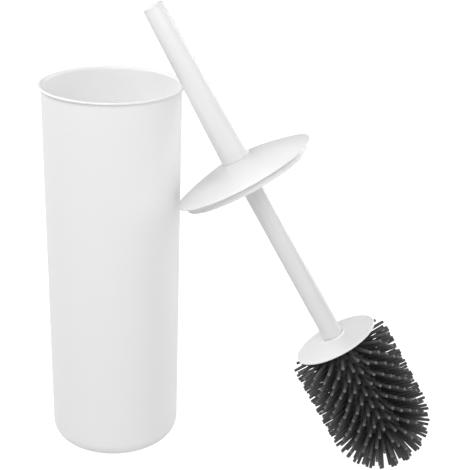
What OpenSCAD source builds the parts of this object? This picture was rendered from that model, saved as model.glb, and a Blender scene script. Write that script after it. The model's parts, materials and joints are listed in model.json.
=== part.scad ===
// Toilet brush leaning on its tall round tub.
// Origin: centre of the tub's underside. +Z is up, the brush stands on the +X side.
// The brush's own axis starts at the lid's seat plane: handle above it, rod and head below it.

/* [Tub] */
// Outer radius of the wall at the mouth, just under the lip
mouth_r = 48; // [40:0.5:60]
// Height from the floor to the top of the lip
tub_h = 270; // [225:1:330]
// How much smaller the outer radius is at the foot
tub_draft = 1.5; // [0.5:0.1:3]
// Thickness of the wall
tub_wall = 1.3; // [1:0.1:2.2]
// Thickness of the floor
floor_t = 2; // [1.5:0.1:4]
// Radius of the rounded bottom edge
foot_round = 11.5; // [6:0.5:14]
// How far the lip stands out past the wall
lip_out = 2; // [1:0.1:3]
// Thickness of the lip
lip_t = 1.6; // [1.2:0.1:2.4]
// Depth of the ring groove in the underside
foot_groove = 0.8; // [0.3:0.1:1.2]

/* [Lid] */
// How far the lid stands out past the lip
lid_out = 1; // [0.5:0.1:3]
// Thickness of the lid's edge
lid_edge_t = 1.2; // [0.8:0.1:2]
// Height of the dome where it meets the handle
lid_rise = 11; // [6:0.5:16]
// Thickness of the dome
lid_wall = 1.8; // [1.2:0.1:2.4]
// Depth of the plug under the lid
plug_depth = 5; // [3:0.1:9]
// Thickness of the plug's rim
plug_wall = 1.6; // [1.2:0.1:2.4]
// Depth and height of the groove between lid and plug
plug_groove = 1.2; // [0.6:0.1:2]
// Radial gap between the plug and the tub's mouth
plug_clear = 0.3; // [0.1:0.05:0.8]

/* [Handle] */
// Length from the lid's seat plane to the handle's end
handle_len = 128; // [95:1:170]
// Radius where the handle meets the lid
handle_base_r = 10.3; // [8:0.1:14]
// Radius at the end
handle_tip_r = 7; // [6:0.1:9]
// Thickness of the handle's wall
handle_wall = 2; // [1.4:0.1:2.6]
// Rounding of the end
tip_round = 1.2; // [0.6:0.1:2]
// Height of the part of the end cap that shows
cap_t = 2.4; // [2:0.1:4]
// Length of the end cap's spigot
cap_spigot = 8; // [5:0.5:12]

/* [Rod] */
// Distance from the lid's seat plane to the collar's edge plane
rod_reach = 139; // [110:1:170]
// Outer radius of the rod
rod_r = 7.25; // [6:0.05:9]
// Thickness of the rod's wall
rod_wall = 1.8; // [1.4:0.1:2.2]
// Radial gap between the rod and what slides over it
rod_clear = 0.15; // [0.1:0.05:0.4]

/* [Threads] */
// Radius of both threaded studs, drawn as plain cylinders
stud_r = 4; // [3:0.1:4.5]
// Length of thread that engages
stud_len = 13; // [10:0.5:18]
// Radial running clearance in the sockets
thread_clear = 0.08; // [0.03:0.01:0.1]
// Radial gap round the studs in the lid's hub and in the collar
hole_clear = 0.4; // [0.2:0.1:0.8]
// Length of each insert that is welded into a tube
insert_len = 20; // [16:0.5:26]

/* [Head] */
// Radius of the collar disc
collar_r = 30.5; // [26:0.5:38]
// Thickness of the collar's edge
collar_t = 1.4; // [1:0.1:2.2]
// Height of the collar's crown over its edge
collar_rise = 2.4; // [1.6:0.1:4]
// Width and height of the neck ring round the rod
neck_ring = 1.2; // [0.8:0.1:2]
// Radius of the stiff core
core_r = 11; // [8:0.5:13]
// Radius of the rubber skin that carries the pins
skin_r = 17; // [14:0.1:21]
// Length of a pin from the skin to its tip
pin_len = 20; // [14:0.5:24]
// Radius of a pin at its tip
pin_r = 1.1; // [0.7:0.05:1.3]
// Radius of a pin at its root
pin_root_r = 1.5; // [1:0.05:1.8]
// Pins in each ring
ring_pins = 20; // [14:1:22]
// Distance between rings along the head
ring_pitch = 4.85; // [4:0.05:6]
// Rings on the straight part
rings = 13; // [8:1:16]
// Distance from the collar's edge plane to the first ring
first_ring = 6.5; // [4:0.1:9]
// Length of skin between the last of these rings and the round end
last_gap = 2.8; // [1:0.1:5]
// Rings on the round end
dome_rings = 8; // [5:1:9]
// Turn of the head about its own axis when it is screwed home, in degrees
head_turn = 10.6; // [0:0.1:18]

/* [Resting pose] */
// Lean of the brush from upright, in degrees
lean = 30.6; // [24:0.1:34]
// Direction of the brush from the tub's axis, in degrees from +X
bearing = -10.6; // [-40:0.1:40]
// Gap between the brush and the tub where they nearly touch
rest_gap = 0.4; // [0.3:0.05:1]

/* [Hidden] */
fine = 96;

white = [0.93, 0.93, 0.92];
shade = [0.86, 0.86, 0.85];
grey = [0.24, 0.24, 0.25];

// Tub
foot_r = mouth_r - tub_draft;
lip_r = mouth_r + lip_out;
groove_r = foot_r - foot_round - 4;
pad_r = groove_r - 8;
lip_flare = 2.2;
lip_cove = 1;

// Lid: it lands on the lip, and its plug drops inside the mouth
lid_r = lip_r + lid_out;
plug_r = mouth_r - tub_wall - plug_clear;
neck_r = plug_r - plug_groove;
rim_in = neck_r - 1.5;
plate_t = 1.6;
edge_cut = 0.3;
hub_r = handle_base_r - 0.6;
dome_foot_r = handle_base_r + 0.4;

// Tubes and inserts
rod_bore = rod_r - rod_wall;
stud_bore = stud_r + thread_clear;
stud_hole = min(stud_r + hole_clear, (stud_r + rod_bore) / 2);
bore_past = 1.5;
handle_seat = handle_base_r - handle_wall;
cap_bore = handle_tip_r - handle_wall;
body_top = handle_len - cap_t;

// Head, measured down from the collar's edge plane
head_straight = first_ring + (rings - 1) * ring_pitch + last_gap;
head_r = skin_r + pin_len;
crown = collar_t + collar_rise;
core_top = -0.4;
pin_root = 1.5;
ring_step = 360 / ring_pins;
dome_from = 5;
dome_span = 80;

// Resting pose: the pins stand on the floor, and the lid's edge, the handle's side or its end
// meets the tub, whichever reaches it first
seat_z = head_r + (rod_reach + head_straight) * cos(lean);
edge_z = seat_z - lid_r * sin(lean);
wall_at_edge = foot_r + tub_draft * edge_z / tub_h;
lid_reach = wall_at_edge + rest_gap + lid_r * cos(lean) + lid_edge_t * sin(lean);
lip_at = (tub_h - seat_z) / cos(lean);
handle_slope = (handle_base_r - handle_tip_r) / (handle_len - lid_rise);
handle_at_lip = handle_base_r - handle_slope * (lip_at - lid_rise);
side_reach = lip_r + (rest_gap + handle_at_lip) / cos(lean) + (tub_h - seat_z) * tan(lean);
end_z = seat_z + handle_len * cos(lean) - handle_tip_r * sin(lean);
end_on = end_z > tub_h - lip_t ? lip_r : mouth_r;
end_reach = end_on + rest_gap + handle_len * sin(lean) + handle_tip_r * cos(lean);
brush_reach = max(lid_reach, min(side_reach, end_reach));

// Points of an arc about [x, y], from angle a to angle b
function arc(x, y, r, a, b, steps = 6) =
    [for (i = [0 : steps]) [x + r * cos(a + (b - a) * i / steps), y + r * sin(a + (b - a) * i / steps)]];

// Height of the dome's outside at radius r: flat at the hub and steeper towards the edge
function dome_z(r, edge, rise, inner, outer) =
    edge + (rise - edge) * (1 - pow((r - inner) / (outer - inner), 1.4));

// Outline of the dome's outside from the edge in to the hub
function dome_line(edge, rise, inner, outer, steps = 10) =
    [for (i = [0 : steps]) let (r = outer - (outer - inner) * i / steps)
        [r, dome_z(r, edge, rise, inner, outer)]];

// Places a piece of the brush, drawn along its own axis, in its resting pose
module on_brush() {
    rotate([0, 0, bearing]) translate([brush_reach, 0, seat_z]) rotate([0, -lean, 0]) children();
}

// Places a piece of the head, drawn down from the collar's edge plane
module on_head() {
    on_brush() translate([0, 0, -rod_reach]) children();
}

module ring_solid(points) {
    rotate_extrude($fn = fine) polygon(points);
}

// One-piece moulded tub: rounded foot, thin drafted wall, lip rolled outwards
module tub() {
    inner_foot = foot_r - tub_wall;
    inner_round = foot_round - tub_wall;
    cove_z = tub_h - lip_t - lip_cove;
    outside = concat(
        [[0, 0]],
        arc(foot_r - foot_round, foot_round, foot_round, -90, 0, 8),
        [[mouth_r, cove_z]],
        arc(mouth_r + lip_cove, cove_z, lip_cove, 180, 90, 3),
        arc(lip_r - lip_t / 2, tub_h - lip_t / 2, lip_t / 2, -90, 90, 6)
    );
    inside = concat(
        arc(mouth_r - tub_wall + lip_flare, tub_h - lip_flare, lip_flare, 90, 180, 5),
        arc(inner_foot - inner_round, floor_t + inner_round, inner_round, 0, -90, 8),
        [[0, floor_t]]
    );
    color(white) difference() {
        ring_solid(concat(outside, inside));
        translate([0, 0, -1]) difference() {
            cylinder(r = groove_r, h = 1 + foot_groove, $fn = fine);
            translate([0, 0, -1]) cylinder(r = pad_r, h = 4 + foot_groove, $fn = fine);
        }
    }
}

// Domed lid: a shell with a hub that the handle and the rod clamp between them
module lid_cover() {
    under = lid_edge_t - lid_wall * 0.35;
    top = dome_line(lid_edge_t, lid_rise, dome_foot_r, lid_r - edge_cut);
    below = dome_line(under, lid_rise - lid_wall, dome_foot_r, rim_in);
    color(white) on_brush() difference() {
        ring_solid(concat(
            [[0, 0], [hub_r, 0]],
            [[hub_r, lid_rise - lid_wall]],
            [for (i = [len(below) - 1 : -1 : 1]) below[i]],
            [[rim_in, 0], [lid_r - edge_cut, 0], [lid_r, edge_cut]],
            [[lid_r, lid_edge_t - edge_cut]],
            top,
            [[0, lid_rise]]
        ));
        translate([0, 0, -1]) cylinder(r = stud_hole, h = lid_rise + 2, $fn = fine);
    }
}

// Plate under the lid: its rim is the plug that drops into the tub's mouth
module lid_underplate() {
    hole_r = rod_r + rod_clear;
    corner = 0.6;
    color(shade) on_brush() ring_solid(concat(
        [[hole_r, -plate_t], [hole_r, 0], [neck_r, 0], [neck_r, -plug_groove * 0.6]],
        [[plug_r - edge_cut, -plug_groove], [plug_r, -plug_groove - edge_cut]],
        arc(plug_r - corner, corner - plug_depth, corner, 0, -90, 3),
        [[plug_r - plug_wall, -plug_depth], [plug_r - plug_wall, -plate_t]]
    ));
}

// Hollow tapered handle with a straight seat at each end for what is welded in
module handle() {
    color(white) on_brush() difference() {
        translate([0, 0, lid_rise])
            cylinder(r1 = handle_base_r, r2 = handle_base_r - handle_slope * (body_top - lid_rise),
                     h = body_top - lid_rise, $fn = fine);
        translate([0, 0, lid_rise - 1]) cylinder(r = handle_seat, h = insert_len + 1, $fn = fine);
        translate([0, 0, lid_rise + insert_len - 0.01])
            cylinder(r1 = handle_seat - 0.6, r2 = cap_bore, h = body_top - cap_spigot - lid_rise - insert_len,
                     $fn = fine);
        translate([0, 0, body_top - cap_spigot - 0.02])
            cylinder(r = cap_bore, h = cap_spigot + 1, $fn = fine);
    }
}

// Cap that closes the handle's end, with a spigot pressed into the bore
module handle_end_cap() {
    low_r = handle_base_r - handle_slope * (body_top - lid_rise);
    lead_in = 1.2;
    spigot_z = body_top - cap_spigot + 1;
    color(white) on_brush() ring_solid(concat(
        [[0, spigot_z], [cap_bore - lead_in, spigot_z], [cap_bore, spigot_z + lead_in]],
        [[cap_bore, body_top], [low_r, body_top]],
        arc(handle_tip_r - tip_round, handle_len - tip_round, tip_round, 0, 90, 5),
        [[0, handle_len]]
    ));
}

// Insert welded into the handle: its stud passes the lid's hub and pulls the rod up
module handle_stud() {
    color(shade) on_brush() union() {
        translate([0, 0, lid_rise]) cylinder(r = handle_seat, h = insert_len - 1, $fn = fine);
        translate([0, 0, -stud_len]) cylinder(r = stud_r, h = stud_len + lid_rise + 1, $fn = fine);
    }
}

// Straight tube between the lid and the head
module rod() {
    color(white) on_brush() difference() {
        translate([0, 0, -rod_reach + crown]) cylinder(r = rod_r, h = rod_reach - crown, $fn = fine);
        translate([0, 0, -rod_reach]) cylinder(r = rod_bore, h = rod_reach + 1, $fn = fine);
    }
}

// Nut insert in the rod's upper end
module rod_top_socket() {
    color(shade) on_brush() difference() {
        translate([0, 0, -insert_len]) cylinder(r = rod_bore, h = insert_len, $fn = fine);
        translate([0, 0, -stud_len - bore_past])
            cylinder(r = stud_bore, h = stud_len + 2 * bore_past, $fn = fine);
    }
}

// Insert in the rod's lower end, with the stud that the head screws on to
module rod_end_stud() {
    color(shade) on_head() union() {
        translate([0, 0, crown]) cylinder(r = rod_bore, h = insert_len, $fn = fine);
        translate([0, 0, -stud_len]) cylinder(r = stud_r, h = stud_len + crown + 1, $fn = fine);
    }
}

// Low-crowned disc that the rod's end clamps on to the head
module collar_disc() {
    ring_in = rod_r + rod_clear;
    ring_out = ring_in + neck_ring;
    corner = 0.4;
    color(white) on_head() difference() {
        ring_solid(concat(
            [[0, 0], [collar_r - corner, 0], [collar_r, corner], [collar_r, collar_t - corner]],
            dome_line(collar_t, crown, ring_out, collar_r - corner, 8),
            [[ring_out, crown + neck_ring - edge_cut], [ring_out - edge_cut, crown + neck_ring]],
            [[ring_in, crown + neck_ring], [ring_in, crown], [0, crown]]
        ));
        translate([0, 0, -1]) cylinder(r = stud_hole, h = crown + 2, $fn = fine);
    }
}

// Stiff core with the threaded socket for the rod's stud
module head_core() {
    color(shade) on_head() difference() {
        union() {
            translate([0, 0, -head_straight]) cylinder(r = core_r, h = head_straight + core_top, $fn = fine);
            translate([0, 0, -head_straight]) sphere(r = core_r, $fn = fine);
        }
        translate([0, 0, -stud_len - bore_past])
            cylinder(r = stud_bore, h = stud_len + 2 * bore_past, $fn = fine);
    }
}

// One pin along +X, rooted in the skin
module pin() {
    translate([skin_r - pin_root, 0, 0]) rotate([0, 90, 0])
        cylinder(r1 = pin_root_r, r2 = pin_r, h = pin_len + pin_root, $fn = 24);
}

// Rubber moulding over the core: a skin with staggered rings of radial pins
module bristle_sleeve() {
    color(grey) on_head() difference() {
        union() {
            for (i = [0 : rings - 1], k = [0 : ring_pins - 1])
                translate([0, 0, -first_ring - i * ring_pitch])
                    rotate([0, 0, head_turn + (k + (i % 2) / 2) * ring_step]) pin();
            for (i = [0 : dome_rings - 1])
                let (
                    tilt = dome_from + i * dome_span / dome_rings,
                    count = max(5, round(ring_pins * cos(tilt))),
                    shift = ((rings + i) % 2) / 2
                )
                    for (k = [0 : count - 1])
                        translate([0, 0, -head_straight])
                            rotate([0, 0, head_turn + (k + shift) * 360 / count]) rotate([0, tilt, 0]) pin();
            translate([0, 0, -head_straight]) rotate([0, 90, 0]) pin();
            translate([0, 0, -head_straight]) cylinder(r = skin_r, h = head_straight + core_top, $fn = fine);
            translate([0, 0, -head_straight]) sphere(r = skin_r, $fn = fine);
        }
        translate([0, 0, -head_straight]) cylinder(r = core_r, h = head_straight + 1, $fn = fine);
        translate([0, 0, -head_straight]) sphere(r = core_r, $fn = fine);
    }
}

tub();
lid_cover();
lid_underplate();
handle();
handle_end_cap();
handle_stud();
rod();
rod_top_socket();
rod_end_stud();
collar_disc();
head_core();
bristle_sleeve();
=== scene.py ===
# %% [markdown]
# # A toilet brush leaning on its tub
# The real set has two loose things: a tall white tub, and a brush whose lid closes the tub when the
# brush is put away. Here the brush leans on the outside of the tub, its rubber pins on the floor.
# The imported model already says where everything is, so the lesson starts by loading it and keeping
# its box. Every new piece is then drawn round an axis of that model and never placed by eye.

# %% Load the frame
import json
import math
import random

import bmesh
import bpy
from mathutils import Matrix, Vector


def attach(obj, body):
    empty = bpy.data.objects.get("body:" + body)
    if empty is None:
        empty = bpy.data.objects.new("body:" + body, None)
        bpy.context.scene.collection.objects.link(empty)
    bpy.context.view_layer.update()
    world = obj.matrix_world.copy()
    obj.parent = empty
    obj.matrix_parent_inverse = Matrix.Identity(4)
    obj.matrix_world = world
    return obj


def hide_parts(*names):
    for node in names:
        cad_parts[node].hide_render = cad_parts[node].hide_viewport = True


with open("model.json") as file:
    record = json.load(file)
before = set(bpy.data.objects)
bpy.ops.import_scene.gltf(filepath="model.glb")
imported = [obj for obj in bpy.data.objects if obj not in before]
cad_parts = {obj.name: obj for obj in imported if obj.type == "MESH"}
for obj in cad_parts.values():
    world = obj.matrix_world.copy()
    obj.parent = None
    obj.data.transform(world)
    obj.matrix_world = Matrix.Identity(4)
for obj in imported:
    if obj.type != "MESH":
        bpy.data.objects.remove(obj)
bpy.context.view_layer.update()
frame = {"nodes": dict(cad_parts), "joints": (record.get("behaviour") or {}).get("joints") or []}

scene = bpy.context.scene

# %% [markdown]
# ## The view
# A long lens a little above the lip shows the mouth of the tub as a narrow ellipse and keeps the
# sides nearly parallel. The camera is set by its place, its tilt and a slight roll. A target and a
# Track To constraint would do the same, but plain numbers stay put when another view turns the
# camera round the object.

# %% Camera
CAMERA_AT = (0.087006, -0.75878, 0.47072)
CAMERA_DOWN = 0.387      # radians below the horizon
CAMERA_ROLL = 0.031
FILM_MM = 36.0
LENS_MM = 87.706

lens = bpy.data.cameras.new("camera")
lens.sensor_width = FILM_MM
lens.lens = LENS_MM
camera = bpy.data.objects.new("camera", lens)
scene.collection.objects.link(camera)
camera.matrix_world = (
    Matrix.Translation(CAMERA_AT)
    @ Matrix.Rotation(math.pi / 2 - CAMERA_DOWN, 4, "X")
    @ Matrix.Rotation(CAMERA_ROLL, 4, "Z")
)
scene.camera = camera
print("camera", [round(c, 3) for c in camera.location], "lens", round(lens.lens, 1), "mm")

# %% [markdown]
# ## The room
# The set stands in front of white paper. The camera sees the paper white, but the paper throws no
# light on the set: a product photographer does this by keeping it well away. A Light Path node
# tells the two apart. An HDR picture would light the set too, but it would bring in other objects.

# %% Room
WHITE_PAPER = 1.05
ROOM_LIGHT = 0.0

scene.view_settings.view_transform = "Standard"
scene.view_settings.look = "None"
room = bpy.data.worlds.new("room")
scene.world = room
room.use_nodes = True
nodes, links = room.node_tree.nodes, room.node_tree.links
nodes.clear()
seen = nodes.new("ShaderNodeBackground")
seen.inputs["Strength"].default_value = WHITE_PAPER
lit = nodes.new("ShaderNodeBackground")
lit.inputs["Strength"].default_value = ROOM_LIGHT
for backing in (seen, lit):
    backing.inputs["Color"].default_value = (1, 1, 1, 1)
ray = nodes.new("ShaderNodeLightPath")
mix = nodes.new("ShaderNodeMixShader")
out = nodes.new("ShaderNodeOutputWorld")
links.new(ray.outputs["Is Camera Ray"], mix.inputs["Fac"])
links.new(lit.outputs[0], mix.inputs[1])
links.new(seen.outputs[0], mix.inputs[2])
links.new(mix.outputs[0], out.inputs["Surface"])
print("room:", WHITE_PAPER, "to the camera,", ROOM_LIGHT, "to the set")

# %% [markdown]
# ## The soft boxes
# White plastic on white only shows its form by small steps of grey, so nothing may shine hard on
# it. A ring of equal soft boxes stands round the set, all aimed at its middle, and only their
# strengths differ: a low one behind on the right draws the pale edge of the tub, and high ones on
# the left and in front carry the lid. Equal boxes keep the ring easy to balance, one number each.

# %% Soft boxes
MIDDLE = Vector((0.06, 0.0, 0.16))
BOX_AWAY = 1.5
BOX_SIDE = 0.8
# (degrees round from the camera towards the right, degrees above the floor, watts)
BOXES = [
    (0, 40, 8.8), (45, 12, 2.4), (45, 40, 3.4), (90, 40, 2.8), (135, 12, 9.6),
    (135, 40, 2.4), (225, 12, 3.0), (225, 40, 7.4), (270, 40, 7.6), (315, 40, 5.6),
]

for turn, rise, watts in BOXES:
    round_by, high = math.radians(turn), math.radians(rise)
    away = Vector((math.cos(high) * math.sin(round_by), -math.cos(high) * math.cos(round_by),
                   math.sin(high)))
    lamp = bpy.data.lights.new(f"soft_box_{turn}_{rise}", "AREA")
    lamp.size, lamp.energy = BOX_SIDE, watts
    box = bpy.data.objects.new(lamp.name, lamp)
    scene.collection.objects.link(box)
    box.matrix_world = (Matrix.Translation(MIDDLE + away * BOX_AWAY)
                        @ (-away).to_track_quat("-Z", "Y").to_matrix().to_4x4())
print(len(BOXES), "soft boxes,", round(sum(b[2] for b in BOXES)), "W")

# %% [markdown]
# ## The floor
# The floor is paper that is lit from below as well, as on a light table, so no shadow is left on
# it. Its glow is weaker for the set than for the camera, and it fills the undersides softly. Seen
# from below it is clear, so the foot of the tub can be looked at.

# %% Floor
MM = 0.001
FLOOR_HALF = 6.0
FLOOR_GLOW = 0.46        # as the set feels it
FLOOR_SEEN = 1.0         # as the camera sees it
FLOOR_GREY = 0.3
FLOOR_GAP = 0.05 * MM    # the floor lies a hair under the foot, so the two faces don't fight

sheet = bmesh.new()
bmesh.ops.create_grid(sheet, x_segments=1, y_segments=1, size=FLOOR_HALF)
bmesh.ops.translate(sheet, vec=(0, 0, -FLOOR_GAP), verts=sheet.verts)
floor_mesh = bpy.data.meshes.new("floor")
sheet.to_mesh(floor_mesh)
sheet.free()
floor = bpy.data.objects.new("floor", floor_mesh)
scene.collection.objects.link(floor)

paper = bpy.data.materials.new("floor_paper")
paper.use_nodes = True
nodes, links = paper.node_tree.nodes, paper.node_tree.links
nodes.clear()
matt = nodes.new("ShaderNodeBsdfDiffuse")
matt.inputs["Color"].default_value = (FLOOR_GREY, FLOOR_GREY, FLOOR_GREY, 1)
ray = nodes.new("ShaderNodeLightPath")
strength = nodes.new("ShaderNodeMapRange")
strength.inputs["To Min"].default_value = FLOOR_GLOW
strength.inputs["To Max"].default_value = FLOOR_SEEN
glow = nodes.new("ShaderNodeEmission")
both = nodes.new("ShaderNodeAddShader")
clear = nodes.new("ShaderNodeBsdfTransparent")
facing = nodes.new("ShaderNodeNewGeometry")
side = nodes.new("ShaderNodeMixShader")
out = nodes.new("ShaderNodeOutputMaterial")
links.new(ray.outputs["Is Camera Ray"], strength.inputs["Value"])
links.new(strength.outputs["Result"], glow.inputs["Strength"])
links.new(matt.outputs[0], both.inputs[0])
links.new(glow.outputs[0], both.inputs[1])
links.new(facing.outputs["Backfacing"], side.inputs["Fac"])
links.new(both.outputs[0], side.inputs[1])
links.new(clear.outputs[0], side.inputs[2])
links.new(side.outputs[0], out.inputs["Surface"])
floor_mesh.materials.append(paper)
print("floor:", 2 * FLOOR_HALF, "m square")

# %% [markdown]
# ## The brush's own axis
# The brush is made of turned parts on one slanted line. Working on a slant is hard, so each part
# is drawn upright in millimetres, with height 0 at the collar's edge plane, and moved on to the
# slant at the end. The thread joint in the model gives that line: a point on it and its direction.
# Because the finished objects must sit unturned at the origin, the move goes into the mesh.

# %% Axis and sizes
screw = next(j for j in frame["joints"] if j["name"] == "head_unscrew")
up = -Vector(screw["axis"]).normalized()
level = up.cross(Vector((0, 0, 1))).normalized()
across = level.cross(up)
ON_BRUSH = Matrix.Translation(screw["pos_m"]) @ Matrix(
    (across, level, up)).transposed().to_4x4() @ Matrix.Scale(MM, 4)
ON_FLOOR = Matrix.Scale(MM, 4)


def extent(node, place):
    """(lowest height, highest height, largest radius) of a CAD node, in mm, about a placed axis."""
    back = place.inverted()
    points = [back @ v.co for v in frame["nodes"][node].data.vertices]
    heights = [p.z for p in points]
    return min(heights), max(heights), max(math.hypot(p.x, p.y) for p in points)


_, tub_h, lip_r = extent("tub", ON_FLOOR)
seat, dome_top, lid_r = extent("lid_cover", ON_BRUSH)
plug_low, _, plug_r = extent("lid_underplate", ON_BRUSH)
_, grip_top, grip_r = extent("handle", ON_BRUSH)
_, tip, cap_r = extent("handle_end_cap", ON_BRUSH)
rod_low, rod_top, rod_r = extent("rod", ON_BRUSH)
_, collar_top, collar_r = extent("collar_disc", ON_BRUSH)
thread_low, insert_top, insert_r = extent("rod_end_stud", ON_BRUSH)
_, skin_top, head_r = extent("bristle_sleeve", ON_BRUSH)
_, _, core_r = extent("head_core", ON_BRUSH)
print(f"tub {tub_h:.1f} high, lip {lip_r:.1f}; seat {seat:.1f}, tip {tip:.1f}, head {head_r:.1f}")

# %% [markdown]
# ## Turning on a lathe
# Nearly everything here is round, so one helper does what a lathe does. It takes half an outline,
# a handful of corners, each with its own rounding. The corners are rounded while the outline is
# still a wire, by a vertex bevel, and a full spin sweeps it round the axis. Rounding the wire first
# costs far fewer faces than bevelling the solid, and no corner is left razor sharp, which no
# moulded part ever is.

# %% Lathe
FEWEST, MOST = 3, 14     # segments in a rounded corner
WELD = 0.001


def turned(outline, steps=96, ring=False):
    """A bmesh in mm: an outline of (radius, height[, rounding]) corners, spun round the Z axis."""
    bm = bmesh.new()
    corners = [bm.verts.new((point[0], 0, point[1])) for point in outline]
    ends = corners[1:] + corners[:1] if ring else corners[1:]
    for start, end in zip(corners, ends):
        bm.edges.new((start, end))
    for corner, point in zip(corners, outline):
        if len(point) > 2:
            segments = max(FEWEST, min(MOST, round(FEWEST + point[2])))
            bmesh.ops.bevel(bm, geom=[corner], offset=point[2], affect="VERTICES", profile=0.5,
                            segments=segments, material=-1)
    bmesh.ops.spin(bm, geom=bm.verts[:] + bm.edges[:], cent=(0, 0, 0), axis=(0, 0, 1),
                   angle=2 * math.pi, steps=steps, use_merge=True, use_duplicate=False)
    bmesh.ops.remove_doubles(bm, verts=bm.verts, dist=WELD)
    bmesh.ops.recalc_face_normals(bm, faces=bm.faces)
    return bm


def finished(name, bm, place, body, stands_for, material, sharp=32):
    """Moves a bmesh into place as a piece on a body; edges over `sharp` degrees stay crisp."""
    bmesh.ops.transform(bm, matrix=place, verts=bm.verts)
    mesh = bpy.data.meshes.new(name)
    bm.to_mesh(mesh)
    bm.free()
    mesh.shade_smooth()
    mesh.set_sharp_from_angle(angle=math.radians(sharp))
    mesh.materials.append(material)
    piece = bpy.data.objects.new(name, mesh)
    scene.collection.objects.link(piece)
    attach(piece, body)
    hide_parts(*stands_for)
    print(f"{name}: {len(mesh.polygons)} faces on {body}")


# %% [markdown]
# ## Moulded plastic
# The set is injection-moulded polypropylene. Close up it isn't one flat white: the steel mould
# leaves a fine matt grain, the melt leaves long faint streaks along the flow, and the gloss drifts
# a little from place to place. More than one finish uses these, so they are a node group with
# named inputs. It gives out a colour, a roughness and a height, and no shader.

# %% Grain group
FLOW_SQUASH = 0.12       # scale along the flow, so streaks are drawn out that way
GRAIN_IN_GLOSS = 0.35    # share of the fine grain in the drift of the gloss


def grain_group():
    """A node group that turns a place on the object into a colour, a roughness and a height."""
    group = bpy.data.node_groups.new("moulded_grain", "ShaderNodeTree")
    for name, kind, value in (
        ("Colour", "NodeSocketColor", (0.8, 0.8, 0.8, 1)),
        ("Shade", "NodeSocketColor", (0.75, 0.75, 0.75, 1)),
        ("Gloss low", "NodeSocketFloat", 0.3),
        ("Gloss high", "NodeSocketFloat", 0.45),
        ("Grain per metre", "NodeSocketFloat", 2200.0),
        ("Streaks per metre", "NodeSocketFloat", 55.0),
    ):
        socket = group.interface.new_socket(name, in_out="INPUT", socket_type=kind)
        socket.default_value = value
    for name, kind in (("Colour", "NodeSocketColor"), ("Roughness", "NodeSocketFloat"),
                       ("Height", "NodeSocketFloat")):
        group.interface.new_socket(name, in_out="OUTPUT", socket_type=kind)

    nodes, links = group.nodes, group.links
    given = nodes.new("NodeGroupInput")
    result = nodes.new("NodeGroupOutput")
    where = nodes.new("ShaderNodeTexCoord")

    flow = nodes.new("ShaderNodeMapping")
    flow.inputs["Scale"].default_value = (1, 1, FLOW_SQUASH)
    links.new(where.outputs["Object"], flow.inputs["Vector"])
    streaks = nodes.new("ShaderNodeTexNoise")
    streaks.inputs["Detail"].default_value = 3.0
    links.new(flow.outputs[0], streaks.inputs["Vector"])
    links.new(given.outputs["Streaks per metre"], streaks.inputs["Scale"])

    grain = nodes.new("ShaderNodeTexNoise")
    grain.inputs["Detail"].default_value = 2.0
    grain.inputs["Roughness"].default_value = 0.6
    links.new(where.outputs["Object"], grain.inputs["Vector"])
    links.new(given.outputs["Grain per metre"], grain.inputs["Scale"])

    tint = nodes.new("ShaderNodeMix")
    tint.data_type = "RGBA"
    links.new(streaks.outputs["Fac"], tint.inputs["Factor"])
    links.new(given.outputs["Colour"], tint.inputs["A"])
    links.new(given.outputs["Shade"], tint.inputs["B"])
    links.new(tint.outputs["Result"], result.inputs["Colour"])

    blend = nodes.new("ShaderNodeMath")
    blend.operation = "MULTIPLY_ADD"
    blend.inputs[1].default_value = GRAIN_IN_GLOSS
    links.new(grain.outputs["Fac"], blend.inputs[0])
    links.new(streaks.outputs["Fac"], blend.inputs[2])
    gloss = nodes.new("ShaderNodeMapRange")
    gloss.inputs["From Min"].default_value = GRAIN_IN_GLOSS
    links.new(blend.outputs[0], gloss.inputs["Value"])
    links.new(given.outputs["Gloss low"], gloss.inputs["To Min"])
    links.new(given.outputs["Gloss high"], gloss.inputs["To Max"])
    links.new(gloss.outputs["Result"], result.inputs["Roughness"])
    links.new(grain.outputs["Fac"], result.inputs["Height"])
    return group


GRAIN = grain_group()
print("group:", GRAIN.name, "with", len(GRAIN.nodes), "nodes")

# %% [markdown]
# ## The plastics
# Each material keeps its own shader, where constants such as the refractive index are set
# directly, and takes the rest from the group. The tub and the lid are the whitest. The handle and
# the rod are separate mouldings, and a little greyer, the rod the most. Parts that hardly show
# are natural plastic, which has no white pigment.

# %% Plastic
BUMP = 0.5


def moulded(name, colour, shade, gloss, grain, streaks, depth, ior=1.49):
    """A satin plastic: colour and shade drift along the flow, grain is per metre, depth in mm."""
    material = bpy.data.materials.new(name)
    material.use_nodes = True
    nodes, links = material.node_tree.nodes, material.node_tree.links
    shader = nodes["Principled BSDF"]
    shader.inputs["IOR"].default_value = ior
    surface = nodes.new("ShaderNodeGroup")
    surface.node_tree = GRAIN
    surface.inputs["Colour"].default_value = (*colour, 1)
    surface.inputs["Shade"].default_value = (*shade, 1)
    surface.inputs["Gloss low"].default_value, surface.inputs["Gloss high"].default_value = gloss
    surface.inputs["Grain per metre"].default_value = grain
    surface.inputs["Streaks per metre"].default_value = streaks
    bump = nodes.new("ShaderNodeBump")
    bump.inputs["Strength"].default_value = BUMP
    bump.inputs["Distance"].default_value = depth * MM
    links.new(surface.outputs["Colour"], shader.inputs["Base Color"])
    links.new(surface.outputs["Roughness"], shader.inputs["Roughness"])
    links.new(surface.outputs["Height"], bump.inputs["Height"])
    links.new(bump.outputs["Normal"], shader.inputs["Normal"])
    return material


def grey(value, blue=0.0):
    """A neutral colour, a touch colder with some blue or warmer with less."""
    return (value, value, value + blue)


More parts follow.
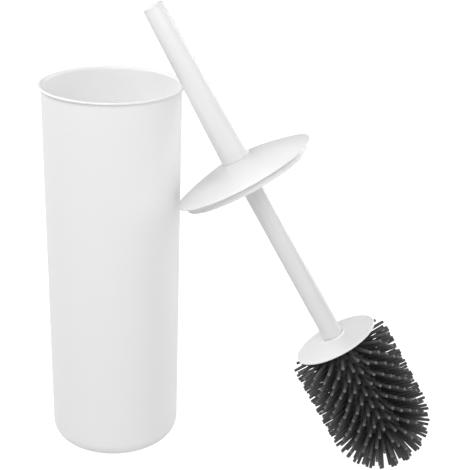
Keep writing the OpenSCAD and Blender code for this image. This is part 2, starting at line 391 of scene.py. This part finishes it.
SATIN, GLOSS = (0.36, 0.41), (0.34, 0.36)
WHITE = moulded("white_satin", grey(0.885), grey(0.875, 0.001), SATIN, 2200, 60, 0.01)
GLOSSY = moulded("white_gloss", grey(0.885), grey(0.878, 0.001), GLOSS, 2600, 160, 0.006)
GRIP = moulded("grip_satin", grey(0.84), grey(0.828, 0.001), SATIN, 2200, 60, 0.01)
PALE = moulded("pale_satin", grey(0.785), grey(0.77, 0.001), (0.3, 0.34), 2200, 70, 0.008)
MILKY = moulded("milky_satin", grey(0.86, -0.005), grey(0.845, -0.005), SATIN, 2000, 70, 0.01)
NATURAL = moulded("natural_plastic", grey(0.8, -0.01), grey(0.74, -0.01), (0.4, 0.55),
                  1600, 90, 0.02)
print("plastics:", ", ".join(m.name for m in (WHITE, GLOSSY, GRIP, PALE, MILKY, NATURAL)))

# %% [markdown]
# ## The tub
# A thin drafted wall rises from a rounded foot to a small lip that is rolled outwards, with a
# softly flared mouth inside it. It is one moulding, so it is one closed outline: up the outside,
# over the lip and down the inside. A solidify modifier on a single wall would be quicker, but the
# lip and the foot have their own thickness, and those are what the eye checks first.

# %% Tub
WALL = 1.3
LIP_OUT, LIP_T, LIP_COVE = 2.0, 1.6, 1.0
FLARE = 2.2
DRAFT = 1.5
FOOT_ROUND = 11.5
FLOOR_T = 2.0
GROOVE_IN, GROOVE_OUT, GROOVE_T = 23.0, 31.0, 0.8
GATE_R, GATE_T = 3.2, 0.3        # the dimple where the melt came in
SLANT = 0.4                      # sideways lean of a groove's wall
SOFT = 0.3                       # rounding of a small edge
NEARLY = 0.02                    # keeps two roundings from meeting on a flat

mouth_r = lip_r - LIP_OUT
foot_r = mouth_r - DRAFT
lip_round = LIP_T / 2 - NEARLY
tub_outline = [
    (0, GATE_T), (GATE_R, GATE_T, 0.2), (GATE_R + SLANT, 0, 0.15),
    (GROOVE_IN, 0, SOFT), (GROOVE_IN + SLANT, GROOVE_T, SOFT),
    (GROOVE_OUT - SLANT, GROOVE_T, SOFT), (GROOVE_OUT, 0, SOFT),
    (foot_r, 0, FOOT_ROUND),
    (mouth_r, tub_h - LIP_T, LIP_COVE),
    (lip_r, tub_h - LIP_T, lip_round), (lip_r, tub_h, lip_round),
    (mouth_r - WALL, tub_h, FLARE),
    (foot_r - WALL, FLOOR_T, FOOT_ROUND - WALL), (0, FLOOR_T),
]
finished("tub_shell", turned(tub_outline, steps=144), ON_FLOOR, "holder", ["tub"],
         WHITE)

# %% [markdown]
# ## The lid
# The cover is a low dome, flat near the handle and falling faster towards a thin round edge. It
# sits on a plate whose rim is the plug that drops into the mouth, and the step between the two
# reads as a dark line. The dome's curve is held by a few corners on it with wide roundings, which
# gives the same smooth fall as a spline and stays on the lathe.

# %% Cover
EDGE_T = 1.2
EDGE_STEP = 0.6                  # the hollow underside starts this far above the seat's edge
LID_WALL = 1.8
RIM_INSET = 2.7
NECK_GAP = 0.4
STUD_HOLE = 4.4
DOME_POWER = 1.4


def dome_height(r, inner, outer, low, high):
    """Height of a dome at radius r: level at the inner radius, steeper towards the outer."""
    return low + (high - low) * (1 - ((r - inner) / (outer - inner)) ** DOME_POWER)


def dome_corners(inner, outer, low, high, count=6, rounding=2.5):
    """Corners along the dome from the outer edge in to the middle."""
    radii = [outer + (inner - outer) * i / count for i in range(1, count)]
    return [(r, dome_height(r, inner, outer, low, high), rounding) for r in radii]


rim = seat + EDGE_T
rim_in = plug_r - RIM_INSET
neck = grip_r + NECK_GAP
hub = neck - 1.0
edge_round = EDGE_T / 2 - NEARLY
under, under_top = rim - EDGE_STEP, dome_top - LID_WALL
cover_outline = [
    (STUD_HOLE, seat), (hub, seat, 0.4), (hub, under_top, 0.8),
    *reversed(dome_corners(neck, rim_in, under, under_top)),
    (rim_in, under, 0.2), (rim_in, seat, 0.15),
    (lid_r, seat, edge_round), (lid_r, rim, edge_round),
    *dome_corners(neck, lid_r, rim, dome_top), (neck, dome_top, 2.0), (STUD_HOLE, dome_top),
]
finished("lid_dome", turned(cover_outline, ring=True, steps=128), ON_BRUSH, "brush",
         ["lid_cover"], GLOSSY)

# %% [markdown]
# ## The plug
# A plate under the cover carries the rim that drops into the mouth. A fine notch runs round the
# rim, and a groove parts it from the cover's edge. The hub in the middle is bored for the rod. It
# could be one piece with the cover, but a hollow that is closed on both sides can't be moulded.

# %% Plug
PLATE_T = 1.6
HUB_T, HUB_WALL = 1.2, 3.0
PLUG_GROOVE = 1.2
PLUG_WALL = 1.6
ROD_CLEAR = 0.15
NOTCH = 0.35                     # depth of the notch into the rim
NOTCH_TOP, NOTCH_LOW = 2.6, 3.3  # and where it lies under the seat
NOTCH_SLANT = 0.2

neck_r = plug_r - PLUG_GROOVE / 2
bore = rod_r + ROD_CLEAR
notch_r = plug_r - NOTCH
hub_low = seat - PLATE_T - HUB_T
plug_outline = [
    (bore, hub_low, SOFT), (bore, seat, 0.2), (neck_r, seat, 0.1),
    (neck_r, seat - PLUG_GROOVE, 0.5), (plug_r, seat - PLUG_GROOVE, SOFT),
    (plug_r, seat - NOTCH_TOP, 0.2), (notch_r, seat - NOTCH_TOP - NOTCH_SLANT, 0.15),
    (notch_r, seat - NOTCH_LOW + NOTCH_SLANT, 0.15), (plug_r, seat - NOTCH_LOW, 0.2),
    (plug_r, plug_low, 0.4), (plug_r - PLUG_WALL, plug_low, 0.5),
    (plug_r - PLUG_WALL - 0.3, seat - PLATE_T, 0.8),
    (bore + HUB_WALL, seat - PLATE_T, 0.8), (bore + HUB_WALL - 0.6, hub_low, 0.4),
]
finished("lid_plug", turned(plug_outline, ring=True, steps=128), ON_BRUSH, "brush",
         ["lid_underplate"], MILKY)

# %% [markdown]
# ## The handle
# The handle is a tube that tapers to its end. Its slope comes from the two ends of the packed
# model, so it meets the cap exactly. A solid bar would look the same from outside, but a real
# handle is hollow, to save plastic and to cool evenly in the mould.

# %% Handle
HANDLE_WALL = 2.0
SEAM = 0.12                      # a hairline, as between any two mouldings
CAP_SPIGOT = 7.0
SEAT_GAP = 0.05
BORE_SHOULDER = 20.0             # the insert fills the bore up to here

tip_r = cap_r
slope = (grip_r - tip_r) / (tip - dome_top)
grip_end = grip_r - slope * (grip_top - dome_top)
bore_end = tip_r - HANDLE_WALL
grip_bore = grip_r - HANDLE_WALL
grip_outline = [
    (grip_bore, dome_top + SEAT_GAP, SOFT), (grip_r, dome_top + SEAT_GAP, 0.15),
    (grip_end, grip_top, SEAM), (bore_end, grip_top, 0.2),
    (bore_end, grip_top - CAP_SPIGOT - 1), (grip_bore, dome_top + BORE_SHOULDER),
]
finished("handle_grip", turned(grip_outline, ring=True), ON_BRUSH, "brush", ["handle"],
         GRIP)

# %% [markdown]
# ## The end cap
# A small cap closes the tube. Its spigot is a press fit in the bore and its rim follows the taper,
# so only the seam shows. The end face is very slightly crowned, since a moulded face that is meant
# to be flat sinks in the middle and a crown hides that.

# %% End cap
CAP_FIT = 0.05
CAP_ROUND = 1.3

cap_outline = [
    (0, grip_top - CAP_SPIGOT), (bore_end - CAP_FIT, grip_top - CAP_SPIGOT, 1.0),
    (bore_end - CAP_FIT, grip_top, 0.1), (grip_end, grip_top, SEAM),
    (tip_r - CAP_FIT, tip, CAP_ROUND), (tip_r * 0.45, tip - 0.08), (0, tip - 0.1),
]
finished("handle_cap", turned(cap_outline), ON_BRUSH, "brush", ["handle_end_cap"],
         GRIP)

# %% [markdown]
# ## The rod
# The rod is a straight tube from the lid's hub to the collar. Its lower end shows when the head is
# unscrewed, so the wall's thickness is real and its edges are rounded.

# %% Rod
ROD_WALL = 1.8
rod_bore = rod_r - ROD_WALL
rod_outline = [
    (rod_bore, rod_low, 0.2), (rod_r, rod_low, SOFT), (rod_r, rod_top, SOFT),
    (rod_bore, rod_top, 0.2),
]
finished("rod_tube", turned(rod_outline, ring=True), ON_BRUSH, "brush", ["rod"],
         PALE)

# %% [markdown]
# ## The thread
# Turning the head seven times walks it off this stud. A screw thread is a spin that also climbs:
# the section of one ridge is swept round while each step lifts it by its share of the pitch. The
# ridge sinks into a plain core, so core and ridge are two closed shells in one piece.

# %% Threaded stud
PITCH = 2.0
ROOT_R, CREST_R = 3.3, 4.0
RIDGE_SINK = 0.3                 # how far the ridge reaches into the core
RIDGE_FOOT, RIDGE_TOP = 0.85, 0.2        # half its height at the root and at the crest
LEAD_IN, RUN_OUT = 1.2, 1.0      # plain lengths at both ends of the thread
TURN_STEPS = 36

plug_in = insert_r - CAP_FIT
stud = turned([
    (0, thread_low), (ROOT_R, thread_low, 0.8), (ROOT_R, rod_low, 0.2),
    (plug_in, rod_low + 0.4, SOFT), (plug_in, insert_top, 0.6), (0, insert_top),
], steps=64)
ridge = bmesh.new()
bottom = thread_low + LEAD_IN
section = [ridge.verts.new(p) for p in (
    (ROOT_R - RIDGE_SINK, 0, bottom - RIDGE_FOOT), (CREST_R, 0, bottom - RIDGE_TOP),
    (CREST_R, 0, bottom + RIDGE_TOP), (ROOT_R - RIDGE_SINK, 0, bottom + RIDGE_FOOT))]
start_face = ridge.faces.new(section)
turns = (rod_low - bottom - RUN_OUT) / PITCH
bmesh.ops.spin(ridge, geom=[start_face], cent=(0, 0, 0), axis=(0, 0, 1),
               dvec=(0, 0, PITCH / TURN_STEPS), angle=2 * math.pi * turns,
               steps=round(TURN_STEPS * turns), use_merge=False, use_duplicate=False)
bmesh.ops.recalc_face_normals(ridge, faces=ridge.faces)
ridge_mesh = bpy.data.meshes.new("ridge")
ridge.to_mesh(ridge_mesh)
ridge.free()
stud.from_mesh(ridge_mesh)
bpy.data.meshes.remove(ridge_mesh)
print(f"thread: {turns:.1f} turns")
finished("rod_thread", stud, ON_BRUSH, "brush", ["rod_end_stud"], NATURAL)

# %% [markdown]
# ## The collar
# A low disc closes the top of the rubber head. Its crown rises a little to a fine ring round the
# rod. It is the brightest thing next to the darkest, so its thin rounded edge matters. It uses the
# lid's dome again: the same function with other sizes keeps the two shapes related.

# %% Collar
COLLAR_T = 1.4
NECK_RING = 1.2

crown = collar_top - NECK_RING
ring_out = bore + NECK_RING
collar_outline = [
    (STUD_HOLE, 0, 0.2), (collar_r, 0, 0.5), (collar_r, COLLAR_T, 0.6),
    *dome_corners(ring_out, collar_r, COLLAR_T, crown, count=5),
    (ring_out, crown, 0.25), (ring_out, collar_top, 0.4), (bore, collar_top, SOFT),
    (bore, crown, 0.1), (STUD_HOLE, crown, 0.2),
]
finished("collar_cap", turned(collar_outline, ring=True), ON_BRUSH, "collar",
         ["collar_disc"], GLOSSY)

# %% [markdown]
# ## Soft rubber
# The pins are a dark grey thermoplastic rubber. Their roots are painted darker as painted shade,
# since between them almost no light gets in, and their ends are painted paler: partly wear where
# they rub, partly a painted highlight where they catch the light. Each pin carries a number that
# runs from 0 at its root to 1 at its tip, and the colour follows it, so the painted shade and
# highlight stay with the rubber when the head turns. A gradient in space would be simpler, but it
# would slide off the pins.

# %% Rubber
# Painted shade fades out from SHADOWED to LIT; past AT_TIP comes the paler tip of wear and painted
# highlight.
SHADOWED, LIT, AT_TIP = 0.15, 0.7, 0.975     # places along a pin where its colour changes


def rubber(name, root, shank, tip_wear_and_highlight):
    """A soft matt rubber whose colour follows the number kept along each pin: painted shade at the
    root, wear and painted highlight at the tip.
    """
    shade = tuple(c * 0.8 for c in shank)
    material = moulded(name, shank, shade, (0.42, 0.6), 2400, 140, 0.02, 1.5)
    nodes, links = material.node_tree.nodes, material.node_tree.links
    surface = next(n for n in nodes if n.type == "GROUP")
    along = nodes.new("ShaderNodeAttribute")
    along.attribute_name = "along"
    ramp = nodes.new("ShaderNodeValToRGB")
    first, last = ramp.color_ramp.elements
    first.color, first.position = (*root, 1), SHADOWED
    last.color, last.position = (*tip_wear_and_highlight, 1), 0.995
    for at in (LIT, AT_TIP):
        ramp.color_ramp.elements.new(at).color = (*shank, 1)
    links.new(along.outputs["Fac"], ramp.inputs["Fac"])
    links.new(ramp.outputs["Color"], surface.inputs["Colour"])
    return material


# root: painted shade; shank: the rubber's own grey; tip: wear and painted highlight.
RUBBER = rubber("grey_rubber", grey(0.016, 0.001), grey(0.078, 0.002), grey(0.34, 0.002))
print("rubber:", RUBBER.name)

# %% [markdown]
# ## One pin
# A pin is grown upwards from a ring of corners, loop by loop: a foot that spreads into the skin, a
# tapering shank, a rounded edge and a small dimple in the tip. It has few sides, because hundreds
# of copies of it are needed and each is only two millimetres across. A cylinder with a bevel would
# do as well, but the loops also carry the number that tells how far along the pin they are.

# %% Pin
PIN_LEN, PIN_R = 20.0, 1.1
PIN_ROOT_R = 1.5
PIN_ROOT = 1.5           # how far the pin reaches into the skin
PIN_SIDES = 8
PIN_END = PIN_ROOT + PIN_LEN
PIN_SPREAD = 1.3         # how much wider the foot inside the skin is
# Painted shade: the dimple takes mostly the shank colour, darker than the tip's worn,
# painted-highlight edge.
DIMPLE_SHADE = 0.978     # the dimple is a little darker than the tip's edge
# (height, radius) of each next loop, up to the dimple in the tip
LOOPS = ((PIN_ROOT + 0.9, PIN_ROOT_R), (PIN_END * 0.5, (PIN_ROOT_R + PIN_R) / 2),
         (PIN_END - 0.3, PIN_R), (PIN_END, PIN_R * 0.8), (PIN_END - 0.25, PIN_R * 0.36))

pin = bmesh.new()
bmesh.ops.create_circle(pin, segments=PIN_SIDES, radius=PIN_ROOT_R * PIN_SPREAD, cap_ends=False)
mark = pin.verts.layers.float.new("along")
edge = pin.edges[:]
for height, radius in LOOPS:
    grown = bmesh.ops.extrude_edge_only(pin, edges=edge)["geom"]
    edge = [g for g in grown if isinstance(g, bmesh.types.BMEdge)]
    loop = [g for g in grown if isinstance(g, bmesh.types.BMVert)]
    now = sum((v.co for v in loop), Vector()) / len(loop)
    size = math.hypot(loop[0].co.x, loop[0].co.y)
    bmesh.ops.scale(pin, vec=(radius / size, radius / size, 1), verts=loop)
    bmesh.ops.translate(pin, vec=(0, 0, height - now.z), verts=loop)
    for v in loop:
        v[mark] = max(0.0, min(1.0, (height - PIN_ROOT) / PIN_LEN))
bmesh.ops.edgeloop_fill(pin, edges=edge)
for v in loop:
    v[mark] = DIMPLE_SHADE
bmesh.ops.recalc_face_normals(pin, faces=pin.faces)
pin_mesh = bpy.data.meshes.new("pin")
pin.to_mesh(pin_mesh)
pin.free()
print("pin:", len(pin_mesh.polygons), "faces")

# %% [markdown]
# ## Where the pins stand
# The pins stand in rings of twenty, and each ring is turned half a step from the one before, so
# they line up in slanting rows. On the round end the rings lean over and hold fewer pins. Each
# place is a matrix that carries the upright pin to its spot. Geometry nodes could scatter them,
# but a real head is a strict pattern, and two loops say it exactly.

# %% Pin places
RING_PINS, RINGS, RING_PITCH = 20, 13, 4.85
FIRST_RING, LAST_GAP = 6.5, 2.8
DOME_RINGS, DOME_FROM, DOME_SPAN = 8, 5.0, 80.0
FEWEST_PINS = 5
HEAD_TURN = 10.6

skin_r = head_r - PIN_LEN
dome_z = -(FIRST_RING + (RINGS - 1) * RING_PITCH + LAST_GAP)


def pin_place(z, turn, tilt):
    """A pin along +Z, moved to stand on the skin at a height, a turn and a downward tilt."""
    return (Matrix.Translation((0, 0, z)) @ Matrix.Rotation(math.radians(turn), 4, "Z")
            @ Matrix.Rotation(math.radians(90 + tilt), 4, "Y")
            @ Matrix.Translation((0, 0, skin_r - PIN_ROOT)))


places = []
for i in range(RINGS):
    for k in range(RING_PINS):
        turn = HEAD_TURN + (k + (i % 2) / 2) * 360 / RING_PINS
        places.append(pin_place(-FIRST_RING - i * RING_PITCH, turn, 0))
for i in range(DOME_RINGS):
    tilt = DOME_FROM + i * DOME_SPAN / DOME_RINGS
    count = max(FEWEST_PINS, round(RING_PINS * math.cos(math.radians(tilt))))
    for k in range(count):
        turn = HEAD_TURN + (k + ((RINGS + i) % 2) / 2) * 360 / count
        places.append(pin_place(dome_z, turn, tilt))
places.append(pin_place(dome_z, 0, 90))
print("pins:", len(places))

# %% [markdown]
# ## The rubber head
# The pins are copies of one small mesh, but no two of a real brush are alike: each bends a little
# by its own weight, a little at random, and the ones underneath give way where they meet the
# floor. The bend grows with the square of the distance from the root, as in a thin rod. A fixed
# seed keeps the same bends on every run, and a simulation would add nothing the eye can see.

# %% Head
SAG = 1.0                # how far a level pin's tip drops, in mm
STRAY = 0.8              # and how far it may lean at random
STRAY_POWER, STRAY_PEAK = 1.5, 1.6       # most pins lean little, a few lean more
FLOOR_CLEAR = 0.06
rng = random.Random(11)

down = (ON_BRUSH.inverted().to_3x3() @ Vector((0, 0, -1))).normalized()
head = bmesh.new()
mark = head.verts.layers.float.new("along")
for place in places:
    first = len(head.verts)
    head.from_mesh(pin_mesh)
    head.verts.ensure_lookup_table()
    fresh = head.verts[first:]
    bmesh.ops.transform(head, matrix=place, verts=fresh)
    axis = (place.to_3x3() @ Vector((0, 0, 1))).normalized()
    fall = down - axis * down.dot(axis)
    side = axis.orthogonal().normalized()
    side.rotate(Matrix.Rotation(rng.uniform(0, 2 * math.pi), 3, axis))
    bend = fall * SAG + side * STRAY * rng.random() ** STRAY_POWER * STRAY_PEAK
    for v in fresh:
        v.co += bend * v[mark] ** 2
    low = min((ON_BRUSH @ v.co).z for v in fresh) / MM
    if low < FLOOR_CLEAR:
        lift = -down * (FLOOR_CLEAR - low)
        for v in fresh:
            v.co += lift * v[mark] ** 2

# %% [markdown]
# ## The skin
# All pins grow out of one thin skin that is pulled over the stiff core. It is a sleeve with a round
# end, open at the top, and it goes into the same piece as the pins because it is the same rubber.

# %% Skin
CORE_GAP = 0.05
skin_end = dome_z - skin_r
core_end = dome_z - core_r - 2 * CORE_GAP

skin = turned([
    (core_r + CORE_GAP, skin_top, 0.1), (skin_r, skin_top, 0.8),
    (skin_r, skin_end, skin_r - 0.01), (0, skin_end), (0, core_end),
    (core_r + CORE_GAP, core_end, core_r - 0.1),
], ring=True, steps=64)
skin_mesh = bpy.data.meshes.new("skin")
skin.to_mesh(skin_mesh)
skin.free()
head.from_mesh(skin_mesh)
finished("pin_head", head, ON_BRUSH, "head", ["bristle_sleeve"], RUBBER, sharp=60)
bpy.data.meshes.remove(pin_mesh)
bpy.data.meshes.remove(skin_mesh)

# %% [markdown]
# ## Inner parts
# The stud in the handle, the nut in the rod and the stiff core of the head are plain turned shapes
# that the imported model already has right, and they hardly show. Drawing them again would only
# risk a mismatch, so they keep their meshes and get the natural plastic.

# %% Kept parts
for name in ("handle_stud", "rod_top_socket", "head_core"):
    node = frame["nodes"][name]
    node.data.materials.clear()
    node.data.materials.append(NATURAL)
